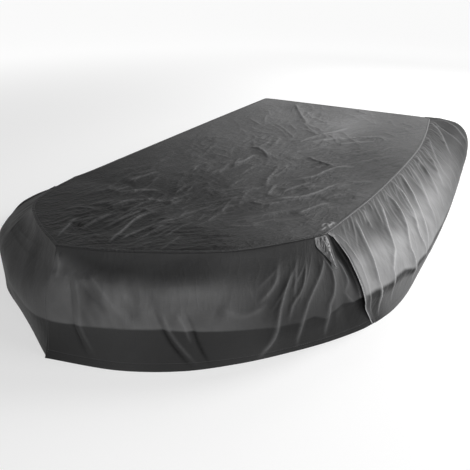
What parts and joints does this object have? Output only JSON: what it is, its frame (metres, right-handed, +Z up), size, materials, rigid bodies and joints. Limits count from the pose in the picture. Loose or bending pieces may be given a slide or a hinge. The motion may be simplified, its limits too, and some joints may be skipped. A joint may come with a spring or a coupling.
{
  "type": "boat cover",
  "caption": "Fitted fabric cover draped over a small inflatable boat, hollow and open underneath, with a sewn top, a pleated skirt and a raised pointed bow.",
  "frame": {"origin": "on the ground under the middle of the cover, at the height of the hem", "axes": "+Z up, -Y towards the bow, +X to port"},
  "size_m": [1.9382, 2.9503, 0.3586],
  "materials": {
    "cover_cloth": "dark charcoal plain-weave polyester, soft satin sheen"
  },
  "bodies": {
    "root": {"top_panel": "cover_cloth", "side_panel_port": "cover_cloth", "bow_panel_port": "cover_cloth", "bow_panel_starboard": "cover_cloth", "side_panel_starboard": "cover_cloth", "stern_panel": "cover_cloth", "shoulder_tuck": "cover_cloth"}
  },
  "joints": []
}
